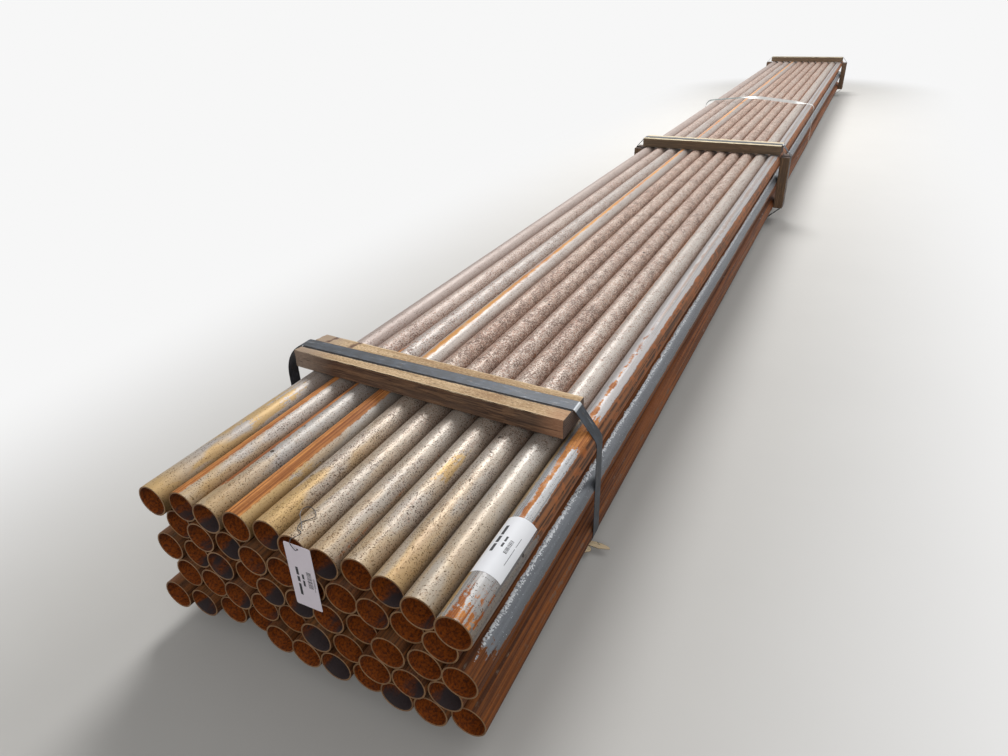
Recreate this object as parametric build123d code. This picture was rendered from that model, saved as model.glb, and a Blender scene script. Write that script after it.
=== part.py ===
import os
from math import asin, atan2, copysign, cos, hypot, radians, sin, tan

from build123d import *

# Pipes, in millimetres: 2-3/8 inch outside diameter, 26 ft long, 0.109 inch wall
pipe_od = 60.3
pipe_wall = 2.77
pipe_length = 7925.0
row_gap = 0.5  # between neighbours in one tier
nest_gap = 0.3  # between a pipe and the two that it lies on

# How far each near end stands back, bottom tier first, from left to right
ends_set_back = (
    (-5, 0, 10, 15, -5, -10, -10, -5, -15, -15, -5),
    (10, 10, 5, 5, 5, -10, -5, -20, -20, -15),
    (10, 15, 10, 15, 0, 0, -5, 0, -20, -15, -20),
    (20, 10, 15, 5, 5, 0, 0, -5, -5, -15),
    (5, 15, 10, 15, 20, 10, 5, 10, 0, -15, -25),
)
tier_names = ("bottom", "second", "third", "fourth", "top")

# Rough-sawn timber across the bundle
timber_thickness = 41.0
timber_width = 95.0
timber_seat = 0.2  # between timber and pipe
batten_end_gap = 2.0  # from a short top batten's end to the face of the upright
bottom_short = 28.0  # bottom battens end this far inside the pipes' side

# Places of the bands, from the mean near end, and from the far end for the last one
front_band_y = 478.0
middle_band_y = 3078.0
far_band_from_end = 233.0

# Front band: both battens overhang on the left, and the top one stops short on the right
front_top_overhang = 28.0
front_top_short = 46.0
front_bottom_overhang = 42.0
front_batten_skew = -2.9
front_strap_skew = -1.5
front_strap_shift = 3.0
middle_skew = -1.0

# Splinter torn out of the right end of the front bottom batten
splinter_reach = 24.0  # beyond the pipes' side
splinter_from_band = 21.0
splinter_root = (16.0, 6.0)  # width and thickness
splinter_tip = (7.0, 2.0)
splinter_foot = 6.0  # height of its underside
splinter_grip = 4.0  # how far its root runs into the batten

# Uprights of the middle and the far band
upright_short = 9.0  # from an upright's top to the tops of the pipes
upright_below_axis = 8.0  # from its foot to the axes of the bottom tier

# Wide steel strap
strap_width = 31.75
strap_thickness = 0.8
strap_bite = 0.5  # how deep it sinks into the timber
strap_seat = 0.2  # between strap and the floor of its groove
strap_side_gap = 0.5
strap_pipe_gap = 0.3
strap_floor_gap = 0.2
strap_bend = 4.0  # inner radius at a timber corner
lap_low = 80.0  # the two ends lap on the left side, between these heights
lap_high = 180.0

# The front strap bows out on the left, where no upright backs it
bow_reach = 55.0  # beyond the end of the top batten
bow_slope = 28.0  # degrees below level where it leaves the batten
bow_upper_bend = 98.0
bow_lower_bend = 700.0
bow_lower_corner = 150.0  # height of the lower turn

# Loose bright tie between the middle and the far band
tie_y = 4710.0
tie_width = 19.0
tie_thickness = 0.5
tie_crown_x = -62.0
tie_crown_rise = 49.0
tie_crown_bend = 900.0
tie_bulge = 40.0  # beyond the pipes' left side
tie_bulge_rise = 8.0  # above the tops of the pipes
tie_bulge_bend = 45.0

# Paper tag that hangs in front of the middle top pipe, and its wire
tag_width = 51.0
tag_height = 128.0
tag_thickness = 0.4
tag_corner = 3.0
tag_left = 3.0
tag_above_pipes = 5.0
tag_gap = 0.5
tag_hole = 4.0
tag_hole_drop = 8.0
tag_hole_x = 26.0  # from the left edge of the tag
wire_diameter = 1.2
wire_sides = 8
wire_gap = 0.3

# Stick-on label round the right-hand top pipe
label_length = 127.0
label_y = 66.0
label_left_angle = 47.0
label_right_angle = 60.0
label_thickness = 0.2
label_gap = 0.05

pipe_r = pipe_od / 2
pitch = pipe_od + row_gap
tier_rise = ((pipe_od + nest_gap) ** 2 - (pitch / 2) ** 2) ** 0.5
widest = max(len(tier) for tier in ends_set_back)
bottom_axis_z = timber_thickness + timber_seat + pipe_r
top_axis_z = bottom_axis_z + (len(ends_set_back) - 1) * tier_rise
pipes_top = top_axis_z + pipe_r
corner_x = (widest - 1) / 2 * pitch
side_x = corner_x + pipe_r
top_batten_z = pipes_top + timber_seat
top_batten_top = top_batten_z + timber_thickness
upright_inner = side_x + strap_pipe_gap
upright_outer = upright_inner + timber_thickness
upright_top = pipes_top - upright_short
upright_foot = bottom_axis_z - upright_below_axis
bottom_end = side_x - bottom_short
far_band_y = pipe_length - far_band_from_end
clear_reach = 4 * side_x  # longer than anything across the bundle
inside_floor = strap_floor_gap + strap_thickness
sunk = strap_bite - strap_seat  # inner face of a strap under the timber's surface
bow_x = -(side_x + front_top_overhang + bow_reach)
set_backs = [value for tier in ends_set_back for value in tier]
middle_x = (bow_x - strap_thickness + upright_outer - sunk + strap_thickness) / 2
middle_y = (min(set_backs) + pipe_length + max(set_backs)) / 2


def pipe_axis_x(tier, place):
    """Distance of a pipe's axis from the middle of the bundle."""
    return (place - (len(ends_set_back[tier]) - 1) / 2) * pitch


def pipe_axis_z(tier):
    """Height of a tier's axes above the floor."""
    return bottom_axis_z + tier * tier_rise


def along(section, start, length):
    """Section drawn in x and z, carried along +Y from start."""
    plane = Plane(origin=(0, start, 0), x_dir=(1, 0, 0), z_dir=(0, -1, 0))
    return extrude(plane * section, amount=-length)


def pipes(tier):
    """One tier of equal pipes, each with its own set-back."""
    ring = Circle(pipe_r) - Circle(pipe_r - pipe_wall)
    made = []
    for place, set_back in enumerate(ends_set_back[tier]):
        section = Pos(pipe_axis_x(tier, place), pipe_axis_z(tier)) * ring
        made.append(along(section, set_back, pipe_length))
    return Compound(children=made)


def timber(x_from, x_to, z_from, z_to, y, skew=0):
    """Bar turned in plan about the middle of its band, its ends sawn along the pipes."""
    length = x_to - x_from
    middle = Pos((x_from + x_to) / 2, 0, (z_from + z_to) / 2)
    bar = middle * Box(length + timber_width, timber_width, z_to - z_from)
    between_ends = middle * Box(length, length + 2 * timber_width, z_to - z_from)
    return Pos(0, y, 0) * ((Rot(0, 0, skew) * bar) & between_ends)


def slab(y, skew, width):
    """Slice across the whole bundle in which a strap runs."""
    slice_box = Box(2 * clear_reach, width, 2 * clear_reach)
    return Pos(0, y, 0) * Rot(0, 0, skew) * slice_box


def outline(corners):
    """Inner line of a strap from its corners, each with x, z and a bend radius."""
    points = [(x, z) for x, z, _ in corners]
    bends = [bend for _, _, bend in corners]
    return make_face(FilletPolyline(*points, radius=bends, close=True))


def tangent_corner(x, z, side, axis_z, radius):
    """Corner where a line from x, z past a corner pipe meets the line down its side."""
    dx = side * corner_x - x
    dz = axis_z - z
    past = asin(radius / hypot(dx, dz))
    slope = atan2(dz, side * dx) - copysign(past, dz)
    edge_x = side * (corner_x + radius)
    return edge_x, z + side * (edge_x - x) * tan(slope), radius


def ribbon(inside, y, skew, width, thickness):
    """Strap round its inner line, with its two ends lapped on the left side."""
    outer = offset(inside, thickness)
    window = Pos(-clear_reach, (lap_low + lap_high) / 2)
    window = window * Rectangle(2 * clear_reach, lap_high - lap_low)
    lapped = (offset(inside, 2 * thickness) - outer) & window
    section = (outer - inside) + lapped
    return along(section, y - clear_reach, 2 * clear_reach) & slab(y, skew, width)


def bitten(bar, inside, y, skew):
    """Timber with the groove, crushed corners and slots that its strap presses in."""
    room = along(offset(inside, -strap_seat), y - clear_reach, 2 * clear_reach)
    strap_way = slab(y, skew, strap_width + 2 * strap_side_gap) - room
    return bar - strap_way


def splinter():
    """Tapering splinter that sticks out of the right end of the front bottom batten."""
    length = splinter_grip + bottom_short + splinter_reach
    width, thickness = splinter_root
    tip_width, tip_thickness = splinter_tip
    inset = (width - tip_width) / 2
    wedge = Wedge(width, length, thickness, inset, 0, inset + tip_width, tip_thickness)
    place_x = bottom_end - splinter_grip + length / 2
    place_y = front_band_y + splinter_from_band
    return Pos(place_x, place_y, splinter_foot + thickness / 2) * Rot(0, 0, -90) * wedge


def front_band():
    """Two battens with a strap round them, no uprights."""
    top_left = -(side_x + front_top_overhang)
    top_right = side_x - front_top_short
    bottom_left = -(side_x + front_bottom_overhang)
    strap_top = top_batten_top - sunk
    bow_z = strap_top - bow_reach * tan(radians(bow_slope))
    wrap = pipe_r + strap_pipe_gap
    inside = outline([
        (top_left, strap_top, strap_bend),
        (top_right, strap_top, strap_bend),
        tangent_corner(top_right, strap_top, 1, top_axis_z, wrap),
        tangent_corner(bottom_end, inside_floor, 1, bottom_axis_z, wrap),
        (bottom_end, inside_floor, strap_bend),
        (bottom_left, inside_floor, strap_bend),
        (bow_x, bow_lower_corner, bow_lower_bend),
        (bow_x, bow_z, bow_upper_bend),
    ])
    strap_y = front_band_y + front_strap_shift
    upper = timber(top_left, top_right, top_batten_z, top_batten_top, front_band_y, front_batten_skew)
    lower = timber(bottom_left, bottom_end, 0, timber_thickness, front_band_y) + splinter()
    return {
        "top_batten_front": bitten(upper, inside, strap_y, front_strap_skew),
        "bottom_batten_front": bitten(lower, inside, strap_y, front_strap_skew),
        "strap_front": ribbon(inside, strap_y, front_strap_skew, strap_width, strap_thickness),
    }


def upright_band(name, y, skew):
    """Two battens and two uprights with a strap round them."""
    end_x = side_x - batten_end_gap
    strap_x = upright_outer - sunk
    corners = [
        (end_x, top_batten_top - sunk, strap_bend),
        (strap_x, upright_top - sunk, strap_bend),
        (strap_x, upright_foot + sunk, strap_bend),
        (bottom_end, inside_floor, strap_bend),
    ]
    mirrored = [(-x, z, bend) for x, z, bend in reversed(corners)]
    inside = outline(corners + mirrored)
    upper = timber(-end_x, end_x, top_batten_z, top_batten_top, y, skew)
    lower = timber(-bottom_end, bottom_end, 0, timber_thickness, y, skew)
    made = {
        f"top_batten_{name}": bitten(upper, inside, y, skew),
        f"bottom_batten_{name}": bitten(lower, inside, y, skew),
        f"strap_{name}": ribbon(inside, y, skew, strap_width, strap_thickness),
    }
    for side, side_name in ((-1, "left"), (1, "right")):
        near, far = sorted((side * upright_inner, side * upright_outer))
        shifted = y + side * upright_inner * tan(radians(skew))
        post = timber(near, far, upright_foot, upright_top, shifted)
        made[f"upright_{name}_{side_name}"] = bitten(post, inside, y, skew)
    return made


def loose_tie():
    """Narrow tie that arches over the slack top and bulges out on the left."""
    wrap = pipe_r + strap_pipe_gap
    crown_z = pipes_top + tie_crown_rise
    low = bottom_axis_z - wrap
    inside = outline([
        (tie_crown_x, crown_z, tie_crown_bend),
        tangent_corner(tie_crown_x, crown_z, 1, top_axis_z, wrap),
        (corner_x + wrap, low, wrap),
        (-corner_x - wrap, low, wrap),
        (-side_x - tie_bulge, pipes_top + tie_bulge_rise, tie_bulge_bend),
    ])
    return ribbon(inside, tie_y, 0, tie_width, tie_thickness)


def hang_tag(back_y):
    """Paper tag with rounded corners and a hole for its wire."""
    tag_top = pipes_top + tag_above_pipes
    sheet = RectangleRounded(tag_width, tag_height, tag_corner)
    sheet = Pos(tag_left + tag_width / 2, tag_top - tag_height / 2) * sheet
    hole = Pos(tag_left + tag_hole_x, tag_top - tag_hole_drop) * Circle(tag_hole / 2)
    return along(sheet - hole, back_y - tag_thickness, tag_thickness)


def bend_radii(points, share=0.45):
    """Bend at each inner point of a wire, as large as its two runs allow."""
    bends = []
    for before, here, after in zip(points, points[1:], points[2:]):
        way_in = Vector(*here) - Vector(*before)
        way_out = Vector(*after) - Vector(*here)
        turn = radians(way_in.get_angle(way_out))
        bends.append(share * min(way_in.length, way_out.length) / tan(turn / 2))
    return bends


def tag_wire(back_y):
    """Stiff wire: in at the front of the hole, over the tag and a loop on the pipe."""
    on_pipe = pipes_top + wire_diameter / 2 + wire_gap
    hole_x = tag_left + tag_hole_x
    hole_z = pipes_top + tag_above_pipes - tag_hole_drop
    over_tag = pipes_top + tag_above_pipes + 2 * wire_diameter
    front_y = back_y - tag_thickness - 3 * wire_diameter
    points = [
        (hole_x, back_y + 2, hole_z),
        (hole_x, front_y, hole_z),
        (hole_x - 10.5, front_y + 1, over_tag),
        (12, 1, over_tag - 1),
        (11, 10, on_pipe + 0.6),
        (15, 24, on_pipe),
        (0, 27, on_pipe),
        (-4, 43, on_pipe),
        (6, 54, on_pipe),
        (10, 63, on_pipe + 0.8),
        (-3, 74, on_pipe + 1.4),
        (-17, 76, on_pipe + 1.4),
        (-22, 67, on_pipe + 1.4),
        (-17, 55, on_pipe + 1.6),
        (-3.5, 42.5, on_pipe + 2),
        (11, 28, on_pipe + 1.8),
    ]
    path = FilletPolyline(*points, radius=bend_radii(points))
    section = Plane(origin=path @ 0, z_dir=path % 0) * RegularPolygon(wire_diameter / 2, wire_sides)
    return sweep(section, path=path)


def pipe_label():
    """Label bent round the crown of the right-hand top pipe."""
    inner = pipe_r + label_gap
    outer = inner + label_thickness
    start = 90 - label_right_angle
    span = label_left_angle + label_right_angle
    ends = [start, start + span]
    rays = [(cos(radians(a)), sin(radians(a))) for a in ends]
    edges = [
        CenterArc((0, 0), inner, start, span),
        CenterArc((0, 0), outer, start, span),
        *[Line((inner * x, inner * y), (outer * x, outer * y)) for x, y in rays],
    ]
    section = Pos(corner_x, top_axis_z) * make_face(edges)
    return along(section, label_y, label_length)


def model():
    """Every node by name, with the bundle centred over the origin."""
    nodes = {}
    for tier, name in enumerate(tier_names):
        nodes[f"pipes_{name}_tier"] = pipes(tier)
    nodes.update(front_band())
    nodes.update(upright_band("middle", middle_band_y, middle_skew))
    nodes.update(upright_band("far", far_band_y, 0))
    nodes["loose_tie"] = loose_tie()
    tag_back = ends_set_back[2][6] - tag_gap
    nodes["hang_tag"] = hang_tag(tag_back)
    nodes["tag_wire"] = tag_wire(tag_back)
    nodes["pipe_label"] = pipe_label()
    to_origin = Pos(-middle_x, -middle_y, 0)
    return {name: to_origin * shape for name, shape in nodes.items()}


nodes = model()
os.makedirs("parts", exist_ok=True)
for node_name, shape in nodes.items():
    export_step(shape, f"parts/{node_name}.step")
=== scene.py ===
import random
from math import asin, atan2, cos, hypot, pi, radians, sin, tan

import bpy
from mathutils import Matrix, Vector, noise


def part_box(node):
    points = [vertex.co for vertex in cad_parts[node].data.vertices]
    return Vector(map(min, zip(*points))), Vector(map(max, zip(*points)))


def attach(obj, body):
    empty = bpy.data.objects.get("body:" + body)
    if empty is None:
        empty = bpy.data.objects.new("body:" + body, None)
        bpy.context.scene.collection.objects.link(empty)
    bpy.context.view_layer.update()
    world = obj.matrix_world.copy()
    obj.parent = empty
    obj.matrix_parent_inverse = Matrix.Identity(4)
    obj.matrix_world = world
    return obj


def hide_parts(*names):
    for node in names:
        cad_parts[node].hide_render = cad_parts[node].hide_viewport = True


# Camera of the photograph, in metres, and its picture in pixels
picture_width = 1008
focal_pixels = 699.03
sensor_width = 36.0
camera_place = (0.68934, -4.52595, 1.02566)
camera_target = (0.00759, -3.18773, 0.19295)
camera_roll = -0.03284

# Pipes; the faces after each ring of points are outside wall (0), bore (1) or rim (2)
pipe_r = 0.03015
pipe_wall = 0.00277
pipe_counts = {"bottom": 11, "second": 10, "third": 11, "fourth": 10, "top": 11}
pipe_sides = 72
rim_bevel = 0.0004
ring_kinds = (2, 2, 2, 0, 2, 2, 2, 1)

# Timber and straps
timber_width = 0.095
front_batten_skew = -2.9
front_strap_skew = -1.5
middle_skew = -1.0
strap_width = 0.03175
strap_bite = 0.0006
strap_side_gap = 0.0006
strap_bend = 0.0046
skin_steps = (0.006, 0.0045, 0.007)
edge_line = 0.0015
pale_edge = 0.009
wear_least = 0.0009
chip_from = 0.28
chip_depth = 0.012
sag_mean = 0.0004
sag_swing = 0.0006
dent_depth = 0.0015
dent_width = 0.005
end_chamfer = 0.0015
press_margin = 0.001

# Splinter and chip at the right end of the front bottom batten
splinter_y = 0.021
splinter_grip = 0.006
splinter_low = 0.006
splinter_root = (0.008, 0.003)
splinter_sides = 10
splinter_steps = 16
splinter_drift = 0.0025
splinter_bleach = 0.1
chip_y = 0.001
chip_length = 0.018
chip_root = (0.010, 0.003)

# Loose tie: slack over the top, turned to the front there, and bulging on the left
tie_width = 0.019
tie_thickness = 0.0006
tie_gap = 0.0006
tie_crown_x = -0.062
tie_crown_rise = 0.0365
tie_crown_bend = 0.9
tie_bulge = 0.040
tie_bulge_rise = 0.002
tie_bulge_bend = 0.045
tie_twist = 62.0
tie_left_share = 0.3
# Share of the dark film, painted shade, on the tie's sides and bottom
tie_shade_below = 0.5
tie_step = 0.006

# Printed marks: rules in columns, a field of bars, and hairlines, across and along their paper
ink_lift = 0.00005
ink_thickness = 0.00006
print_step = 0.003
bar_widths = (0.0004, 0.0007, 0.0011)
tag_marks = {
    "rules": ((0.0135, 0.0185, ((0.046, 0.016), (0.065, 0.011), (0.080, 0.024))),
              (0.0235, 0.0275, ((0.058, 0.010), (0.071, 0.012)))),
    "bars": (0.0335, 0.0425, 0.050, 0.083),
    "gaps": (0.0005, 0.0008, 0.0012),
    "hairlines": ((0.0450, 0.060, 0.0457, 0.088), (0.0470, 0.060, 0.0476, 0.079)),
    "seed": 5,
}
label_marks = {
    "rules": ((-0.0145, -0.0090, ((0.044, 0.017), (0.064, 0.015), (0.082, 0.022))),
              (-0.0015, 0.0020, ((0.056, 0.009), (0.068, 0.011)))),
    "bars": (0.0070, 0.0130, 0.047, 0.074),
    "gaps": (0.0005, 0.0009, 0.0013),
    "hairlines": ((0.0190, 0.028, 0.0197, 0.064), (0.0190, 0.068, 0.0197, 0.088)),
    "seed": 6,
}

# Studio: a floor that fades to white beside the bundle, and soft lamps with place, aim, size and power
floor_size = 160.0
floor_drop = 0.0005
floor_fade = (0.45, 1.5)
bundle_half_length = 4.0
backdrop_white = 0.93
soft_sky = 0.3
lamps = {
    "key": ((-1.5, 2.2, 5.4), (0.0, -2.4, 0.2), 3.0, 400.0),
    "fill": ((2.6, -8.0, 3.6), (0.0, -2.6, 0.2), 3.6, 85.0),
    "back": ((2.6, 3.4, 5.0), (0.1, 0.4, 0.2), 4.0, 150.0),
}
view_reach = 200.0


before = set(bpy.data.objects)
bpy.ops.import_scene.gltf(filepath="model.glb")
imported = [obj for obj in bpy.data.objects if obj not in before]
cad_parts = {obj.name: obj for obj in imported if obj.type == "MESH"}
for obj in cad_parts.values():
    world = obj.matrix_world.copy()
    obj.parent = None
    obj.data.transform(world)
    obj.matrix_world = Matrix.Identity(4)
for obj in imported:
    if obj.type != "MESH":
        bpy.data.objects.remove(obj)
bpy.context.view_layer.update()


def paint(r, g, b):
    """Colour as it looks on a screen, 0 to 255, in the renderer's linear values."""
    shares = (r / 255, g / 255, b / 255)
    return (*(c / 12.92 if c <= 0.04045 else ((c + 0.055) / 1.055) ** 2.4 for c in shares), 1.0)


def clamped(value):
    """Value held between 0 and 1."""
    return max(0.0, min(1.0, value))


class Shader:
    """One material's node tree, built from its coordinates to its surface."""

    def __init__(self, name):
        self.material = bpy.data.materials.new(name)
        self.material.use_nodes = True
        self.nodes = self.material.node_tree.nodes
        self.links = self.material.node_tree.links
        self.surface = self.nodes["Principled BSDF"]
        self.place = self.nodes.new("ShaderNodeTexCoord").outputs["Object"]

    def put(self, socket, value):
        """Link a node's output to a socket, or set the socket to a constant."""
        if isinstance(value, bpy.types.NodeSocket):
            self.links.new(value, socket)
        else:
            socket.default_value = value

    def attribute(self, name, kind="Fac"):
        node = self.nodes.new("ShaderNodeAttribute")
        node.attribute_name = name
        return node.outputs[kind]

    def math(self, operation, a, b=0.0, clamp=False):
        node = self.nodes.new("ShaderNodeMath")
        node.operation = operation
        node.use_clamp = clamp
        self.put(node.inputs[0], a)
        self.put(node.inputs[1], b)
        return node.outputs[0]

    def times(self, *values):
        total = values[0]
        for value in values[1:]:
            total = self.math("MULTIPLY", total, value)
        return total

    def plus(self, *values):
        total = values[0]
        for value in values[1:]:
            total = self.math("ADD", total, value)
        return total

    def weigh(self, *pairs):
        """Sum of values, each times its weight."""
        return self.plus(*[self.times(value, weight) for value, weight in pairs])

    def swing(self, value, size):
        """Value between 0 and 1 as a swing about zero."""
        return self.times(self.plus(value, -0.5), size)

    def without(self, value):
        return self.math("SUBTRACT", 1.0, value, clamp=True)

    def either(self, a, b):
        return self.math("MAXIMUM", a, b)

    def vector(self, operation, a, b, output="Vector"):
        node = self.nodes.new("ShaderNodeVectorMath")
        node.operation = operation
        self.put(node.inputs[0], a)
        self.put(node.inputs[1], b)
        return node.outputs[output]

    def split(self, vector):
        node = self.nodes.new("ShaderNodeSeparateXYZ")
        self.put(node.inputs[0], vector)
        return node.outputs

    def normal(self):
        """Surface direction in the object's own frame."""
        return self.split(self.nodes.new("ShaderNodeTexCoord").outputs["Normal"])

    def join(self, x, y, z):
        node = self.nodes.new("ShaderNodeCombineXYZ")
        for socket, value in zip(node.inputs, (x, y, z)):
            self.put(socket, value)
        return node.outputs[0]

    def seeded(self):
        """Place in the object, moved across by each pipe's own seed."""
        x, y, z = self.split(self.place)
        return self.join(self.plus(x, self.attribute("seed")), y, z)

    def noise(self, at, scale=1.0, detail=2.0, rough=0.5, stretch=None):
        """Noise of a scale, detail and roughness, finer along an axis the more its place is stretched."""
        if stretch:
            at = self.vector("MULTIPLY", at, stretch)
        node = self.nodes.new("ShaderNodeTexNoise")
        self.put(node.inputs["Vector"], at)
        self.put(node.inputs["Scale"], scale)
        self.put(node.inputs["Detail"], detail)
        self.put(node.inputs["Roughness"], rough)
        return node.outputs["Fac"]

    def cells(self, at, scale):
        """Distance to the nearest of scattered points."""
        node = self.nodes.new("ShaderNodeTexVoronoi")
        self.put(node.inputs["Vector"], at)
        self.put(node.inputs["Scale"], scale)
        return node.outputs["Distance"]

    def step(self, value, low, high):
        """0 below low, 1 above high, smooth between; the other way round where low is the higher."""
        node = self.nodes.new("ShaderNodeMapRange")
        node.interpolation_type = "SMOOTHSTEP"
        linked = any(isinstance(bound, bpy.types.NodeSocket) for bound in (low, high))
        flip = not linked and low > high
        self.put(node.inputs["Value"], value)
        self.put(node.inputs["From Min"], high if flip else low)
        self.put(node.inputs["From Max"], low if flip else high)
        node.inputs["To Min"].default_value = 1.0 if flip else 0.0
        node.inputs["To Max"].default_value = 0.0 if flip else 1.0
        return node.outputs["Result"]

    def mix(self, share, a, b):
        """Colour a where the share is 0, b where it is 1."""
        node = self.nodes.new("ShaderNodeMix")
        node.data_type = "RGBA"
        self.put(node.inputs["Factor"], share)
        self.put(node.inputs[6], a)
        self.put(node.inputs[7], b)
        return node.outputs[2]

    def ramp(self, value, low, high, a, b):
        """Colour a where the value is below low, b where it is above high."""
        return self.mix(self.step(value, low, high), a, b)

    def cover(self, colour, top, *shares):
        """Colour with another over it, by the product of the shares."""
        return self.mix(self.times(*shares), colour, top)

    def blend(self, share, a, b):
        """Number a where the share is 0, b where it is 1."""
        node = self.nodes.new("ShaderNodeMix")
        self.put(node.inputs[0], share)
        self.put(node.inputs[2], a)
        self.put(node.inputs[3], b)
        return node.outputs[0]

    def finish(self, colour, rough, metal=0.0, height=None, depth=0.0005, strength=0.6):
        self.put(self.surface.inputs["Base Color"], colour)
        self.put(self.surface.inputs["Roughness"], rough)
        self.put(self.surface.inputs["Metallic"], metal)
        if height is not None:
            bump = self.nodes.new("ShaderNodeBump")
            bump.inputs["Distance"].default_value = depth
            bump.inputs["Strength"].default_value = strength
            self.put(bump.inputs["Height"], height)
            self.put(self.surface.inputs["Normal"], bump.outputs["Normal"])
        return self.material


def pipe_steel():
    """Mill steel: lacquer and orange rust near the ends, brown mottling over pale metal beyond."""
    s = Shader("pipe_steel")
    at = s.seeded()
    around = s.attribute("around", "Vector")
    side, _, up = s.split(around)
    from_end = s.attribute("from_end")
    names = ("patina", "speck", "lacquer", "bright", "rust")
    patina, speck, lacquer, bright, rusty = [s.attribute(name) for name in names]
    cloud = s.noise(at, 9.0, 3.0, 0.6, stretch=(1.0, 0.45, 1.0))
    drift = s.noise(at, 14.0, 2.0, 0.5, stretch=(2.2, 0.5, 2.2))
    blotch = s.noise(at, 60.0, 3.0, 0.6, stretch=(1.0, 0.5, 1.0))
    tooth = s.noise(at, 150.0, 3.0, 0.65)
    coarse = s.noise(at, 230.0, 3.0, 0.66, stretch=(1.0, 0.8, 1.0))
    fine = s.noise(at, 400.0, 1.5, 0.55)
    grit = s.noise(at, 800.0, 2.0, 0.6)
    line = s.noise(at, 1.0, 3.0, 0.55, stretch=(220.0, 2.2, 220.0))
    beyond = s.step(from_end, 0.3, 0.7)
    far = s.step(from_end, 4.0, 4.4)
    flank = s.step(up, 0.95, 0.2)
    valley_shade = s.step(up, 0.34, 0.04)
    left = s.step(side, 0.1, -0.6)

    steel = s.mix(line, paint(150, 141, 127), paint(188, 179, 164))
    clean = s.mix(line, paint(112, 118, 126), paint(168, 171, 176))
    steel = s.cover(steel, clean, bright, 0.85)
    # Flanks: much darker near the ends, painted shade over their browner colour; beyond the ends only their
    # browner, pinker colour
    shade = s.mix(beyond, paint(102, 86, 68), paint(190, 160, 142))
    steel = s.cover(steel, shade, flank, s.blend(bright, 0.8, 0.5))
    film = s.times(patina, s.plus(0.2, s.times(beyond, 0.55)), s.plus(0.5, s.times(cloud, 0.9)))
    film = s.math("MINIMUM", film, 0.9)
    steel = s.cover(steel, paint(200, 174, 160), film)
    steel = s.cover(steel, paint(156, 112, 88), left, patina, beyond, 0.55)
    steel = s.cover(steel, paint(136, 122, 116), s.attribute("veil"), beyond)
    # Darker low on each pipe, where it meets its neighbours: painted shade
    steel = s.cover(steel, paint(84, 64, 52), valley_shade, s.blend(beyond, 0.2, 0.7))

    density = s.plus(s.times(speck, s.plus(0.5, s.times(beyond, 0.55))), s.times(flank, 0.12),
                     s.swing(blotch, 1.3), s.swing(cloud, 0.8), s.blend(beyond, -0.17, -0.30))
    mottle = s.step(s.plus(coarse, s.times(density, 0.17)), 0.575, 0.645)
    mottle = s.times(mottle, s.plus(0.3, s.times(beyond, 0.4)))
    pits = s.step(s.plus(fine, s.times(density, 0.11)), 0.605, 0.66)
    brown = s.ramp(blotch, 0.42, 0.64, paint(154, 108, 84), paint(108, 68, 50))
    steel = s.cover(steel, brown, mottle)
    steel = s.cover(steel, paint(106, 84, 68), s.step(grit, 0.5, 0.68), speck, 0.45)
    steel = s.cover(steel, paint(70, 52, 40), pits, s.blend(beyond, 0.8, 0.5))
    spot = s.step(s.plus(s.cells(at, 16.0), s.times(far, -0.05)), 0.075, 0.055)
    steel = s.cover(steel, paint(44, 32, 26), spot, s.step(s.plus(cloud, s.times(far, 0.05)), 0.5, 0.56))

    ragged = s.plus(s.swing(line, 0.35), s.swing(tooth, 0.25), s.swing(blotch, 0.4))

    def lies(kind):
        """Where a kind of strip lies: about its direction, ragged, between its two distances."""
        width, start, end = s.split(s.attribute(kind + "_span", "Vector"))
        across = s.vector("DOT_PRODUCT", around, s.attribute(kind + "_way", "Vector"), "Value")
        across = s.plus(across, s.times(ragged, s.plus(1.1, s.times(width, -0.9))))
        inside = s.step(across, width, s.plus(width, 0.006, s.times(lacquer, 0.1)))
        begins = s.step(s.plus(from_end, s.times(ragged, 0.25)), start, s.plus(start, 0.01))
        ends = s.step(s.plus(from_end, s.times(ragged, 0.6)), end, s.plus(end, 0.03))
        return s.times(inside, begins, s.without(ends))

    gold = s.times(lacquer, s.step(from_end, 0.40, 0.10), s.step(drift, 0.40, 0.60))
    gold = s.plus(gold, s.times(lacquer, s.step(from_end, 0.14, 0.0), 0.7), s.times(lies("gold"), 0.85))
    # Lacquer lighter on the crown than on the flanks: painted shade on the flanks
    amber = s.mix(flank, paint(182, 146, 80), paint(132, 102, 54))
    amber = s.cover(amber, paint(150, 110, 56), s.step(drift, 0.5, 0.7), 0.5)
    steel = s.cover(steel, amber, s.math("MINIMUM", gold, 0.8))
    steel = s.cover(steel, paint(70, 52, 36), pits, 0.6)

    silver = lies("silver")
    frost = s.plus(s.noise(at, 300.0, 2.0, 0.6), s.times(s.step(up, 0.82, 0.95), 0.26))
    frost = s.times(s.step(frost, 0.66, 0.74), s.attribute("frost"))
    # Silver strip: bluish grey and darker than bare steel, as a painted reflection of the sky and painted
    # shade; darker still towards its lower side as painted shade
    pale = s.mix(line, paint(84, 89, 96), paint(132, 138, 146))
    pale = s.cover(pale, paint(84, 84, 86), s.step(up, 0.55, 0.2), 0.45)
    pale = s.cover(pale, paint(224, 228, 232), frost, 0.85)
    steel = s.cover(steel, pale, silver, 0.95)
    streak = s.times(s.step(line, 0.46, 0.36), s.step(bright, 0.5, 1.0))
    steel = s.cover(steel, paint(88, 90, 94), streak, 0.6)

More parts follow.
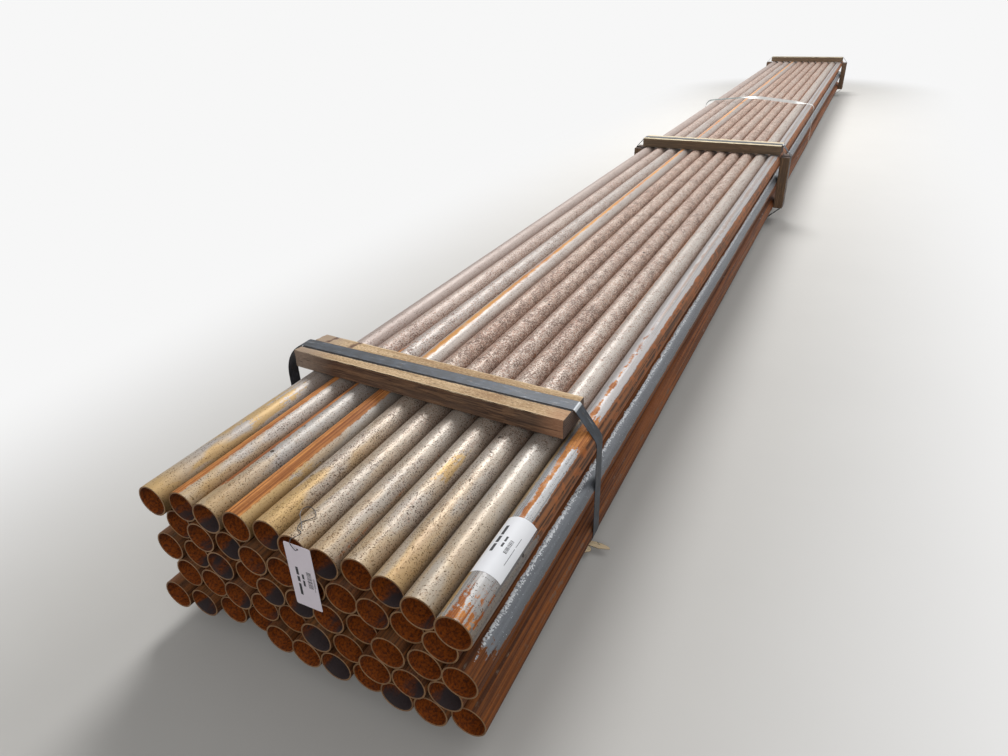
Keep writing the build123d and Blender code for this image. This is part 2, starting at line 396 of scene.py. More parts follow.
    overall = s.times(rusty, s.step(s.weigh((blotch, 0.5), (line, 0.5)), 0.24, 0.4), s.without(silver))
    flaked = s.step(s.weigh((blotch, 0.7), (tooth, 0.3)), 0.42, 0.46)
    rust = s.plus(lies("rust"), lies("cap"), overall, s.times(lies("patch"), flaked))
    rust = s.math("MINIMUM", rust, 1.0)
    orange = s.ramp(line, 0.36, 0.62, paint(148, 80, 30), paint(214, 142, 72))
    orange = s.cover(orange, paint(142, 74, 28), s.step(blotch, 0.42, 0.66), 0.6)
    orange = s.cover(orange, paint(98, 54, 24), s.step(tooth, 0.56, 0.7), 0.5)
    glazed = s.ramp(line, 0.36, 0.62, paint(118, 66, 30), paint(212, 144, 82))
    orange = s.cover(orange, glazed, lacquer, 0.8)
    deep = s.ramp(line, 0.36, 0.64, paint(62, 28, 6), paint(132, 68, 18))
    orange = s.cover(orange, deep, rusty, 0.9)
    colour = s.cover(steel, orange, rust, 0.95)

    stripe = lies("stripe")
    ochre = s.ramp(line, 0.34, 0.62, paint(66, 42, 26), paint(146, 90, 48))
    ochre = s.cover(ochre, paint(172, 98, 44), s.step(blotch, 0.5, 0.62), 0.6)
    yellow = s.ramp(line, 0.38, 0.6, paint(182, 104, 28), paint(214, 152, 74))
    ochre = s.cover(ochre, yellow, s.attribute("yellow"))
    colour = s.cover(colour, ochre, stripe, 0.92)
    seam = s.times(lies("seam"), s.step(line, 0.36, 0.56))
    colour = s.cover(colour, paint(116, 90, 72), seam, 0.85)
    # Darker over the whole pipe by its per-pipe value: painted shade on the lower and side pipes
    colour = s.cover(colour, paint(26, 20, 16), s.attribute("dim"))
    # Rusty pipes darker towards the bottom: painted shade
    colour = s.cover(colour, paint(30, 22, 16), rusty, s.step(up, 0.35, -0.3), 0.55)

    dull = s.either(s.either(rust, stripe), s.either(mottle, s.times(pits, 0.8)))
    dull = s.either(dull, s.times(film, 0.6))
    rough = s.blend(dull, s.blend(bright, 0.38, 0.44), 0.68)
    metal = s.blend(dull, s.blend(bright, 0.38, 0.32), 0.03)
    s.put(s.surface.inputs["Specular IOR Level"], s.blend(dull, 0.5, 0.2))
    height = s.weigh((mottle, -0.6), (pits, -0.5), (tooth, 0.4), (rust, 0.4), (line, 0.15))
    return s.finish(colour, rough, metal, height, 0.0006, 0.5)


def bore_steel():
    """Inside wall: orange rust, darker and browner in its upper part as painted shade, with purplish-grey
    mill scale in places.
    """
    s = Shader("bore_steel")
    at = s.seeded()
    around = s.attribute("around", "Vector")
    cloud = s.noise(at, 30.0, 3.0, 0.6, stretch=(1.0, 0.4, 1.0))
    fleck = s.noise(at, 260.0, 3.0, 0.6)
    low = s.vector("DOT_PRODUCT", around, (0.3, 0.0, -0.95), "Value")
    overhead_shade = s.step(s.plus(low, s.times(cloud, 0.8)), 0.5, -0.5)
    low_right = s.vector("DOT_PRODUCT", around, (0.6, 0.0, -0.8), "Value")
    scaled = s.plus(low_right, s.swing(cloud, 4.0), s.swing(s.attribute("scale"), 2.6))
    rust = s.ramp(fleck, 0.35, 0.65, paint(158, 80, 16), paint(100, 44, 8))
    # Upper part of the bore darker and browner: painted shade
    rust = s.cover(rust, paint(74, 44, 30), overhead_shade, 0.7)
    scale = s.mix(fleck, paint(54, 44, 44), paint(78, 68, 70))
    colour = s.ramp(scaled, 0.7, 1.5, rust, scale)
    colour = s.cover(colour, paint(56, 30, 16), s.step(fleck, 0.55, 0.75), 0.7)
    return s.finish(colour, 0.6, 0.1, fleck, 0.0006, 0.5)


def rim_steel():
    """Saw-cut end: tan, with a film of rust and fine cut marks."""
    s = Shader("rim_steel")
    cuts = s.noise(s.place, 1.0, 2.0, 0.5, stretch=(900.0, 40.0, 900.0))
    cloud = s.noise(s.place, 55.0, 2.0, 0.6)
    colour = s.ramp(cloud, 0.35, 0.7, paint(126, 90, 56), paint(90, 56, 32))
    colour = s.cover(colour, paint(172, 138, 96), cuts, 0.4)
    return s.finish(colour, 0.55, 0.12, cuts, 0.0002, 0.4)


def sawn_wood():
    """Rough-sawn softwood: golden top, sides browner and darkened as painted shade, grain along the length, a
    painted shadow beside the strap.
    """
    s = Shader("sawn_wood")
    g = s.attribute("grain", "Vector")
    bleach = s.attribute("bleach")
    wander = s.noise(g, 1.0, 2.0, 0.5, stretch=(2.6, 14.0, 14.0))
    u, v, w = s.split(g)
    bent = s.join(u, s.plus(v, s.times(wander, 0.03)), s.plus(w, s.times(wander, 0.02)))
    rings = s.noise(bent, 1.0, 3.0, 0.55, stretch=(1.6, 95.0, 95.0))
    fibre = s.noise(bent, 1.0, 3.0, 0.6, stretch=(14.0, 620.0, 620.0))
    split = s.noise(bent, 1.0, 1.0, 0.4, stretch=(3.2, 70.0, 70.0))
    cloud = s.noise(g, 1.0, 3.0, 0.6, stretch=(9.0, 20.0, 20.0))
    fuzz = s.noise(g, 1.0, 3.0, 0.65, stretch=(160.0, 330.0, 330.0))
    saw = s.noise(g, 1.0, 2.0, 0.6, stretch=(330.0, 5.0, 5.0))
    upward = s.step(s.normal()[2], 0.35, 0.75)
    edge = s.step(s.plus(s.attribute("edge"), s.swing(fuzz, 0.9)), 0.45, 0.8)
    crack = s.step(s.math("ABSOLUTE", s.plus(split, -0.56)), 0.006, 0.0015)
    band = s.plus(s.attribute("band"), s.swing(fuzz, 0.003))
    half = strap_width / 2
    # Dark line in front of the strap: painted shadow; thin dark line behind it: painted shade
    strap_shadow = s.times(s.step(band, -half + 0.002, -half - 0.0005), s.step(band, -half - 0.0062, -half - 0.0045))
    strap_back_shade = s.times(s.step(band, half - 0.002, half), s.step(band, half + 0.003, half + 0.0015))

    top = s.ramp(rings, 0.38, 0.6, paint(184, 152, 112), paint(214, 184, 144))
    top = s.cover(top, paint(160, 122, 84), s.step(cloud, 0.46, 0.66), 0.65)
    top = s.cover(top, paint(126, 92, 62), s.step(fuzz, 0.5, 0.66), 0.65)
    top = s.cover(top, paint(246, 226, 190), s.step(fuzz, 0.46, 0.32), 0.55)
    top = s.cover(top, paint(240, 218, 180), edge, 0.7)
    top = s.cover(top, s.mix(fibre, paint(240, 232, 204), paint(206, 194, 160)), bleach, 0.8)
    # Sides browner than the top, and darker as painted shade
    shaded_flanks = s.ramp(rings, 0.4, 0.6, paint(88, 62, 46), paint(128, 96, 70))
    shaded_flanks = s.cover(shaded_flanks, paint(64, 44, 32), s.step(fibre, 0.48, 0.62))
    shaded_flanks = s.cover(shaded_flanks, paint(166, 132, 100), s.step(fibre, 0.44, 0.32), 0.5)
    shaded_flanks = s.cover(shaded_flanks, paint(92, 74, 62), s.step(cloud, 0.45, 0.65), 0.5)
    shaded_flanks = s.cover(shaded_flanks, paint(132, 118, 96), bleach, 0.5)
    colour = s.mix(upward, shaded_flanks, top)
    colour = s.cover(colour, s.mix(fuzz, paint(118, 100, 88), paint(184, 164, 146)), s.attribute("grey"))
    colour = s.cover(colour, s.mix(fuzz, paint(150, 96, 70), paint(220, 170, 132)), s.attribute("red"))
    colour = s.cover(colour, paint(84, 52, 42), s.attribute("dent"))
    colour = s.cover(colour, paint(70, 50, 36), crack, 0.6)
    # Painted shadow in front of the strap and painted shade behind it
    colour = s.cover(colour, paint(22, 18, 16), s.either(strap_shadow, s.times(strap_back_shade, 0.6)))
    height = s.weigh((fibre, 0.5), (fuzz, 0.7), (saw, 0.3), (crack, -1.2), (rings, 0.3), (strap_shadow, -2.0))
    return s.finish(colour, 0.86, 0.0, height, 0.0013, 0.8)


def end_wood():
    """Sawn end of a timber: growth rings, fine checks and dirt."""
    s = Shader("end_wood")
    g = s.attribute("grain", "Vector")
    _, v, w = s.split(g)
    away = s.vector("LENGTH", s.join(0.0, s.plus(v, 0.055), s.plus(w, 0.12)), (0, 0, 0), "Value")
    away = s.plus(away, s.times(s.noise(g, 25.0, 2.0), 0.012))
    ring = s.math("FRACT", s.times(away, 260.0))
    check = s.step(s.noise(g, 1.0, 2.0, 0.5, stretch=(1.0, 40.0, 260.0)), 0.62, 0.68)
    colour = s.ramp(ring, 0.2, 0.9, paint(112, 92, 78), paint(82, 66, 58))
    colour = s.cover(colour, paint(36, 30, 28), check, 0.8)
    colour = s.cover(colour, paint(78, 68, 66), s.noise(g, 30.0, 3.0), 0.6)
    return s.finish(colour, 0.9, 0.0, s.plus(ring, s.times(check, -2.0)), 0.0008, 0.5)


def strap_steel(name, fold_x):
    """Blued strapping: dark, with lengthwise rubs, scuffs, some rust and a painted highlight where it bends
    over its batten.
    """
    s = Shader(name)
    cloud = s.noise(s.place, 45.0, 3.0, 0.6)
    rub = s.noise(s.place, 1.0, 3.0, 0.6, stretch=(8.0, 900.0, 30.0))
    scuff = s.noise(s.place, 1.0, 4.0, 0.7, stretch=(28.0, 130.0, 28.0))
    bloom = s.noise(s.place, 120.0, 3.0, 0.6)
    x = s.split(s.place)[0]
    fold_highlight = s.times(s.step(x, fold_x - 0.003, fold_x), s.step(x, fold_x + 0.0045, fold_x + 0.003))
    colour = s.ramp(cloud, 0.4, 0.7, paint(42, 46, 52), paint(60, 66, 75))
    colour = s.cover(colour, paint(104, 110, 118), s.step(rub, 0.54, 0.72), 0.35)
    colour = s.cover(colour, paint(140, 144, 150), s.step(scuff, 0.56, 0.72), 0.45)
    # Near white band at the bend over the batten: painted highlight
    colour = s.cover(colour, paint(206, 210, 214), fold_highlight, 0.8)
    colour = s.cover(colour, paint(96, 72, 56), s.step(bloom, 0.62, 0.72), 0.4)
    return s.finish(colour, s.blend(cloud, 0.42, 0.62), 0.4, s.plus(cloud, rub), 0.0003, 0.3)


def bright_steel():
    """Bright tie: pale zinc brightened near white as a painted reflection, with scuffs, and darker greenish
    grey where the film attribute says, as a painted dark reflection and painted shade.
    """
    s = Shader("bright_steel")
    cloud = s.noise(s.place, 40.0, 3.0, 0.6)
    scuff = s.noise(s.place, 400.0, 2.0, 0.6)
    # Near white: pale zinc brightened as a painted reflection
    colour = s.mix(cloud, paint(236, 238, 236), paint(250, 250, 248))
    colour = s.cover(colour, paint(170, 170, 162), s.step(scuff, 0.58, 0.7), 0.3)
    # Film: painted dark reflection on the top left of the tie, and painted shade on its sides and bottom
    film = s.math("MINIMUM", s.plus(s.attribute("film"), s.swing(cloud, 0.4)), 1.0)
    colour = s.cover(colour, s.mix(scuff, paint(66, 74, 72), paint(100, 108, 104)), film)
    return s.finish(colour, s.blend(cloud, 0.3, 0.45), 0.1, scuff, 0.0002, 0.3)


def wire_steel():
    """Drawn wire, dark grey."""
    s = Shader("wire_steel")
    cloud = s.noise(s.place, 300.0, 2.0, 0.6)
    colour = s.mix(cloud, paint(24, 26, 30), paint(66, 70, 78))
    return s.finish(colour, 0.35, 0.35, cloud, 0.0001, 0.3)


def paper(name, base, shade):
    """Paper stock with fibre and slight stains."""
    s = Shader(name)
    fibre = s.noise(s.place, 900.0, 3.0, 0.6)
    cloud = s.noise(s.place, 30.0, 3.0, 0.6)
    colour = s.cover(base, shade, cloud, 0.5)
    colour = s.cover(colour, shade, s.step(fibre, 0.6, 0.8), 0.25)
    return s.finish(colour, 0.55, 0.0, s.plus(fibre, cloud), 0.0002, 0.25)


def ink():
    """Printed marks, near black and slightly worn."""
    s = Shader("ink")
    wear = s.noise(s.place, 700.0, 2.0, 0.6)
    return s.finish(s.ramp(wear, 0.5, 0.75, paint(38, 38, 42), paint(92, 92, 98)), 0.6)


def add_piece(name, points, faces, materials, slot, replaced=(), smooth=True):
    """Mesh piece on the one body, with its faces' material numbers in faces' last place."""
    mesh = bpy.data.meshes.new(name)
    mesh.from_pydata(points, [], [corners for corners, _ in faces])
    for material in materials:
        mesh.materials.append(material)
    mesh.polygons.foreach_set("material_index", [number for _, number in faces])
    mesh.polygons.foreach_set("use_smooth", [smooth] * len(faces))
    mesh.validate()
    piece = bpy.data.objects.new(name, mesh)
    bpy.context.scene.collection.objects.link(piece)
    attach(piece, "root")
    if replaced:
        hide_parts(*replaced)
    return piece


def mark(piece, name, values, vector=False):
    """Value or vector at each point of a piece, for its material."""
    made = piece.data.attributes.new(name, "FLOAT_VECTOR" if vector else "FLOAT", "POINT")
    if vector:
        made.data.foreach_set("vector", [part for value in values for part in value])
    else:
        made.data.foreach_set("value", values)


def facing(angle):
    """Direction round a pipe, in degrees from straight up, to the right."""
    return (sin(radians(angle)), 0.0, cos(radians(angle)))


# Per-pipe values for pipe_steel, and its kinds of strip; a strip nowhere is too narrow to show
nowhere = ((0.0, 0.0, 1.0), (2.0, 0.0, 0.0))
strip_kinds = ("rust", "stripe", "silver", "gold", "patch", "cap", "seam")
# One kind of look value darkens the whole pipe as painted shade
look_kinds = ("patina", "speck", "lacquer", "bright", "rust", "yellow", "dim", "frost", "veil")


def strip(angle, half_width, start=-1.0, end=99.0):
    """Strip about a direction round the pipe, between two distances from the near end."""
    return facing(angle), (cos(radians(half_width)), start, end)


def look(patina, speck, lacquer, bright, rust_all=0.0, yellow=0.0, dim=0.0, frost=0.0, veil=0.0,
         **strips):
    """How one pipe differs from the next: a value of each kind, and its strips."""
    values = dict(zip(look_kinds, (patina, speck, lacquer, bright, rust_all, yellow, dim, frost, veil)))
    return values, {kind: strips.get(kind, nowhere) for kind in strip_kinds}


def low_look(draws):
    """Rusty look of a lower pipe that shows little beyond its end."""
    return look(draws.uniform(0.4, 0.8), draws.uniform(0.4, 0.8), draws.uniform(0.1, 0.5),
                draws.uniform(0.0, 0.3), rust_all=draws.uniform(0.85, 1.0), dim=0.3)


looks = {
    ("top", 0): look(0.7, 0.12, 1.1, 0.5, veil=0.62, gold=strip(5, 50, 0.22, 0.32)),
    ("top", 1): look(0.7, 0.55, 0.5, 0.4, veil=0.2, rust=strip(-24, 32, -0.05, 0.5)),
    ("top", 2): look(0.25, 0.5, 0.4, 0.55, veil=0.1, rust=strip(-38, 32, 0.04, 0.6)),
    ("top", 3): look(0.2, 0.2, 0.6, 0.45, yellow=1.0, veil=0.3, rust=strip(-10, 42, -0.05, 0.47),
                     stripe=strip(-6, 19, 0.45), gold=strip(60, 60, -0.05, 0.14)),
    ("top", 4): look(0.8, 0.95, 0.8, 0.05),
    ("top", 5): look(0.7, 0.85, 0.35, 0.1),
    ("top", 6): look(0.6, 0.8, 0.3, 0.25, stripe=strip(62, 5, 0.0)),
    ("top", 7): look(0.65, 0.85, 0.3, 0.15, gold=strip(28, 24, 0.22, 0.27)),
    ("top", 8): look(0.55, 0.8, 0.45, 0.25),
    ("top", 9): look(0.2, 0.4, 0.32, 0.4, veil=0.12, rust=strip(-56, 14, 0.5)),
    ("top", 10): look(0.0, -0.3, 0.1, 0.9, veil=0.4, rust=strip(-2, 10, 0.20, 0.95),
                      stripe=strip(80, 44, 0.19), gold=strip(-56, 22, 0.0, 0.5),
                      patch=strip(24, 44, -0.05, 0.024), cap=strip(18, 36, 0.41, 0.5),
                      seam=strip(2, 12, 0.85)),
    ("fourth", 9): look(0.6, 0.5, 0.1, 0.0, rust_all=1.0, dim=0.3),
    ("third", 10): look(0.3, 0.3, 0.1, 0.2, rust_all=1.0, dim=0.1, frost=1.0, silver=strip(44, 32, 0.05)),
    ("second", 9): look(0.7, 0.6, 0.1, 0.0, rust_all=0.95, dim=0.12, silver=strip(34, 12, 0.3)),
    ("bottom", 10): look(0.7, 0.6, 0.1, 0.0, rust_all=1.0, dim=0.05, seam=strip(62, 5, 0.05)),
}


def pipe_tier(name, count, materials, draws):
    """One tier of pipes with fine round walls and cut ends, where the CAD node has them."""
    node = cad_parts[f"pipes_{name}_tier"]
    low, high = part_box(node.name)
    first = low[0] + pipe_r
    pitch = (high[0] - low[0] - 2 * pipe_r) / (count - 1)
    axis_z = (low[2] + high[2]) / 2
    nearest = [high[1]] * count
    farthest = [low[1]] * count
    for vertex in node.data.vertices:
        place = min(count - 1, max(0, round((vertex.co.x - first) / pitch)))
        nearest[place] = min(nearest[place], vertex.co.y)
        farthest[place] = max(farthest[place], vertex.co.y)
    bore_r = pipe_r - pipe_wall
    points, faces = [], []
    marks = {key: [] for key in ("seed", "scale", "from_end", "around", *look_kinds)}
    for kind in strip_kinds:
        marks[kind + "_way"], marks[kind + "_span"] = [], []
    for place in range(count):
        x = first + place * pitch
        start, end = nearest[place], farthest[place]
        values, strips = looks.get((name, place)) or low_look(draws)
        seed, scale = draws.uniform(0, 50), draws.uniform(0, 1)
        near = [(start + rim_bevel, bore_r), (start, bore_r + rim_bevel),
                (start, pipe_r - rim_bevel), (start + rim_bevel, pipe_r)]
        rings = near + [(start + end - y, radius) for y, radius in reversed(near)]
        base = len(points)
        for y, radius in rings:
            for side in range(pipe_sides):
                angle = 2 * pi * side / pipe_sides
                way = (sin(angle), 0.0, cos(angle))
                points.append((x + radius * way[0], y, axis_z + radius * way[2]))
                marks["around"].append(way)
                marks["seed"].append(seed)
                marks["scale"].append(scale)
                marks["from_end"].append(y - start)
                for kind in look_kinds:
                    marks[kind].append(values[kind])
                for kind in strip_kinds:
                    marks[kind + "_way"].append(strips[kind][0])
                    marks[kind + "_span"].append(strips[kind][1])
        for ring, kind in enumerate(ring_kinds):
            after = (ring + 1) % len(rings)
            for side in range(pipe_sides):
                beside = (side + 1) % pipe_sides
                corners = (base + ring * pipe_sides + side, base + ring * pipe_sides + beside,
                           base + after * pipe_sides + beside, base + after * pipe_sides + side)
                faces.append((corners, kind))
    piece = add_piece(f"{name}_tier", points, faces, materials, "pipe_steel", [node.name])
    for key, values in marks.items():
        mark(piece, key, values, key == "around" or key.endswith(("_way", "_span")))
    piece.data.set_sharp_from_angle(angle=radians(30))


def lines(size, step):
    """Places of grid lines across a size, with one close to each edge."""
    count = max(2, round((size - 2 * edge_line) / step))
    inner = [-size / 2 + edge_line + (size - 2 * edge_line) * i / count for i in range(count + 1)]
    return [-size / 2, *inner, size / 2]


def lattice(sizes):
    """Points and faces of a box's skin, each face with its material's number: 1 at the two ends."""
    along = [lines(size, step) for size, step in zip(sizes, skin_steps)]
    counts = [len(each) - 1 for each in along]
    number, points, faces = {}, [], []

    def point(key):
        if key not in number:
            number[key] = len(points)
            points.append(Vector([along[i][key[i]] for i in range(3)]))
        return number[key]

    for axis in range(3):
        a, b = [i for i in range(3) if i != axis]
        for level in (0, counts[axis]):
            for i in range(counts[a]):
                for j in range(counts[b]):
                    corners = []
                    for di, dj in ((0, 0), (1, 0), (1, 1), (0, 1)):
                        key = [0, 0, 0]
                        key[axis], key[a], key[b] = level, i + di, j + dj
                        corners.append(point(tuple(key)))
                    if (level == 0) != (axis == 1):
                        corners.reverse()
                    faces.append((tuple(corners), 1 if axis == 0 else 0))
    return points, faces


def plain_tint(u, v, half):
    """No grey, red or dents."""
    return 0.0, 0.0, 0.0


def front_tint(u, v, half):
    """Grey weathered left end with two dents in its back strip, and a reddish near right corner."""
    grey = 0.75 * clamped((-u - half[0] + 0.11) / 0.08)
    red = 0.55 * clamped((u - half[0] + 0.06) / 0.04) * (1.0 if v < 0 else 0.0)
    dent = 0.0
    for from_left in (0.048, 0.112):
        away = abs(u + half[0] - from_left - 0.25 * (v - half[1]))
        if v > 0.35 * half[1] and away < dent_width:
            dent = 0.85
    return grey, red, dent


def inward(size, at):
    """Size, signed to lead from a place towards the middle."""
    return -size if at > 0 else size


def timber(name, draws, standing=False, skew=0.0, strap=None, strap_skew=0.0, jag=(0.001, 0.001),
           slant=0.0, right=None, bleach=0.0, tint=plain_tint, wear_depth=0.0022):
    """Rough-sawn timber in its CAD node's place, worn at its edges and pressed by its strap."""
    low, high = (Vector(corner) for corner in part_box(name))
    if right is not None:
        high.x = right
    middle = (low + high) / 2
    turn = radians(skew)
    if standing:
        sizes = (high.z - low.z, timber_width, high.x - low.x)
    else:
        sizes = (high.x - low.x, timber_width, high.z - low.z)
    points, faces = lattice(sizes)
    seed = Vector((draws.uniform(0, 40), draws.uniform(0, 40), draws.uniform(0, 40)))
    strap_low, strap_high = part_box(strap)
    strap_y = (strap_low[1] + strap_high[1]) / 2
    strap_x = (strap_low[0] + strap_high[0]) / 2
    half = [size / 2 for size in sizes]
    placed, marks = [], {key: [] for key in ("grain", "band", "edge", "bleach", "grey", "red", "dent")}

    def wave(x, y, z):
        """Smooth noise at a place, from about -1 to 1."""
        return noise.noise(Vector((x, y, z)) + seed)

    for p in points:
        u, v, w = p
        near_u, near_v, near_w = [size - abs(at) < 1e-5 for size, at in zip(half, p)]
        marks["edge"].append(max(0.0, 1 - (half[1] - abs(v)) / pale_edge))
        grey, red, dent = tint(u, v, half)
        wear = wear_least + wear_depth * max(0.0, wave(u * 22, v * 9, w * 9))
        wear += max(0.0, wave(u * 60, v * 30, w * 30) - chip_from) * chip_depth
        if near_v and near_w:
            v += inward(wear, v)
            w += inward(wear, w)
        sag = max(0.0, sag_mean + sag_swing * wave(u * 40, v * 60, w * 60))
        if near_v:
            v += inward(sag, v)
        if near_w:
            w += inward(sag + (dent_depth * dent if w > 0 else 0.0), w)
        end = 0 if u < 0 else 1
        depth = jag[end] * (0.5 + 0.5 * wave(0, v * 130, w * 60) + 0.35 * wave(5, v * 520, w * 200))
        if end == 0:
            depth += slant * (v / half[1] + 1) / 2
        close = max(0.0, 1 - (half[0] - abs(u)) / max(3 * (jag[end] + slant * (1 - end)), 0.004))
        u += inward(max(0.0, depth) * close, u)
        if near_u and (near_v or near_w):
            u += inward(end_chamfer, u)
        if standing:
            at = Vector((w, v, u)) + middle
        else:
            at = Vector((u * cos(turn) - v * sin(turn), u * sin(turn) + v * cos(turn), w)) + middle
            at.x = min(max(at.x, low.x), high.x)
        band = at.y - strap_y - (at.x - strap_x) * tan(radians(strap_skew))
        if abs(band) < strap_width / 2 + strap_side_gap + press_margin:
            at = pressed(at, low, high)
        placed.append(at)
        values = ((u + seed.x, v + seed.y, w + seed.z), band, bleach, grey, red, dent)
        for key, value in zip(("grain", "band", "bleach", "grey", "red", "dent"), values):
            marks[key].append(value)
    piece = add_piece(name + "_timber", placed, faces, [wood, wood_end], "timber", [name])
    for key, values in marks.items():
        mark(piece, key, values, key == "grain")
    piece.data.set_sharp_from_angle(angle=radians(50))


def splinter(name, block_end, y):
    """Torn splinter out of a batten's end, to the far corner of its CAD node, and a short chip beside it."""
    start = block_end - splinter_grip
    steps, sides = splinter_steps, splinter_sides
    points, grain, faces = [], [], []
    for tip, off, root in ((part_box(name)[1][0], splinter_y, splinter_root),
                           (block_end + chip_length, chip_y, chip_root)):
        base = len(points)
        for i in range(steps + 1):
            share = i / steps
            x = start + (tip - start) * share
            taper = (0.7 + 0.45 * sin(pi * share)) * (1.0 - share ** 8 * 0.6)
            width = root[0] * taper * (1 + 0.2 * noise.noise(Vector((share * 7, 2, 0))))
            thickness = root[1] * (1 - 0.7 * share)
            drift = splinter_drift * noise.noise(Vector((share * 3, 9, 0)))
            for side in range(sides):
                angle = 2 * pi * side / sides
                rough = 1 + 0.12 * noise.noise(Vector((share * 14, side * 1.7, 4)))
                points.append((x, y + off + drift + width * rough * cos(angle),
                               splinter_low + root[1] + thickness * rough * sin(angle)))
                grain.append((x, width * cos(angle), thickness * sin(angle)))
        for i in range(steps):
            for side in range(sides):
                a, b = base + i * sides + side, base + i * sides + (side + 1) % sides
                faces.append(((a, b, b + sides, a + sides), 0))
        faces.append((tuple(range(base, base + sides))[::-1], 0))
        faces.append((tuple(range(base + steps * sides, base + (steps + 1) * sides)), 0))
    piece = add_piece(name + "_splinter", points, faces, [wood], "timber", [name])
    mark(piece, "grain", grain, True)
    # Splinter marked as pale edge wood all over: fresh torn wood, made paler as painted light
    for key, value in (("band", 1.0), ("edge", 1.0), ("bleach", splinter_bleach)):
        mark(piece, key, [value] * len(points))


def pressed(at, low, high):
    """Point of a timber under its strap, moved in behind the strap's bite and its rounded bends."""
    x = min(max(at.x, low.x + strap_bite), high.x - strap_bite)
    z = min(max(at.z, low.z + strap_bite), high.z - strap_bite)
    for edge_x in (low.x, high.x):
        for edge_z in (low.z, high.z):
            centre_x = edge_x + strap_bend * (1 if edge_x == low.x else -1)
            centre_z = edge_z + strap_bend * (1 if edge_z == low.z else -1)
            dx, dz = x - centre_x, z - centre_z
            if dx * (edge_x - centre_x) > 0 and dz * (edge_z - centre_z) > 0:
                reach = hypot(dx, dz)
                if reach > strap_bend - strap_bite:
                    x = centre_x + dx * (strap_bend - strap_bite) / reach
                    z = centre_z + dz * (strap_bend - strap_bite) / reach
    return Vector((x, at.y, z))


def rounded(corners, step):
    """Points along a closed line through corners, each with x, z and a bend radius, and their directions."""
    count = len(corners)
    points = []
    for i, (x, z, bend) in enumerate(corners):
        here = Vector((x, z))
        before = Vector(corners[i - 1][:2]) - here
        after = Vector(corners[(i + 1) % count][:2]) - here
        turn = pi - before.angle(after)
        reach = bend * tan(turn / 2)
        a, b = here + before.normalized() * reach, here + after.normalized() * reach
        centre = here + (before.normalized() + after.normalized()).normalized() * (bend / cos(turn / 2))
        first = atan2(a.y - centre.y, a.x - centre.x)
        sweep = atan2(b.y - centre.y, b.x - centre.x) - first
        sweep = (sweep + pi) % (2 * pi) - pi
        parts = max(3, round(abs(sweep) * bend / step))
        for part in range(parts + 1):
            angle = first + sweep * part / parts
            points.append(Vector((centre.x + bend * cos(angle), centre.y + bend * sin(angle))))
    line = []
    for a, b in zip(points, points[1:] + points[:1]):
        parts = max(1, round((b - a).length / step))
        line += [a.lerp(b, part / parts) for part in range(parts)]
    return line


def over_corner(x, z, corner_x, corner_z, radius):
    """Corner where a line from x, z past the right corner pipe meets the line down its side."""
    dx, dz = corner_x - x, corner_z - z
    slope = atan2(dz, dx) + asin(radius / hypot(dx, dz))
    edge_x = corner_x + radius
    return edge_x, z + (edge_x - x) * tan(slope), radius


def loose_tie():
    """Slack tie: flat round the sides and the bottom, turned to the front where it arches over the top."""
    low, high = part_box("pipes_top_tier")
    floor_low, floor_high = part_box("pipes_bottom_tier")
    left, right = low[0] + pipe_r, high[0] - pipe_r
    top_z, bottom_z = (low[2] + high[2]) / 2, (floor_low[2] + floor_high[2]) / 2
    wrap = pipe_r + tie_gap
    centre_x = (left + right) / 2
    crown = (centre_x + tie_crown_x, high[2] + tie_crown_rise)
    corners = [
        (*crown, tie_crown_bend),
        over_corner(*crown, right, top_z, wrap),
        (right + wrap, bottom_z - wrap, wrap),
        (left - wrap, bottom_z - wrap, wrap),
        (low[0] - tie_bulge, high[2] + tie_bulge_rise, tie_bulge_bend),
    ]
    line = rounded(corners, tie_step)
    y = (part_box("loose_tie")[0][1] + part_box("loose_tie")[1][1]) / 2
    points, film = [], []
    count = len(line)
    for i, here in enumerate(line):
        along = (line[(i + 1) % count] - line[i - 1]).normalized()
        out = Vector((-along.y, along.x))
        if out.dot(here - Vector((centre_x, (top_z + bottom_z) / 2))) < 0:
            out = -out
        on_top = clamped((here.y - high[2] - 0.001) / 0.009)
        if here.x < low[0] + 0.03:
            on_top = clamped((here.y - top_z + 0.01) / 0.02)
        inside = clamped((right - 0.02 - here.x) / 0.07)
        past_crown = clamped((here.x - centre_x - tie_crown_x + 0.04) / 0.1)
        inside *= tie_left_share + (1 - tie_left_share) * past_crown
        twist = -radians(tie_twist) * on_top * inside
        flat = Vector((out.x, 0, out.y))
        across = Vector((0, cos(twist), 0)) - flat * sin(twist)
        face = flat * cos(twist) + Vector((0, sin(twist), 0))
        middle = Vector((here.x, y, here.y)) + flat * (tie_thickness / 2)
        # Dark film: a painted dark reflection left of the crown, painted shade on the sides and bottom
        dull = clamped((centre_x + tie_crown_x - 0.03 - here.x) / 0.05) if here.y > top_z else tie_shade_below
        for a, b in ((-1, -1), (1, -1), (1, 1), (-1, 1)):
            points.append(middle + across * (a * tie_width / 2) + face * (b * tie_thickness / 2))
            film.append(dull)
    faces = []
    for i in range(count):
        after = (i + 1) % count
        for a in range(4):
            b = (a + 1) % 4
            faces.append(((i * 4 + a, i * 4 + b, after * 4 + b, after * 4 + a), 0))
    piece = add_piece("loose_tie_band", points, faces, [bright_steel()], "bright_steel", ["loose_tie"])
    mark(piece, "film", film)
    piece.data.set_sharp_from_angle(angle=radians(30))


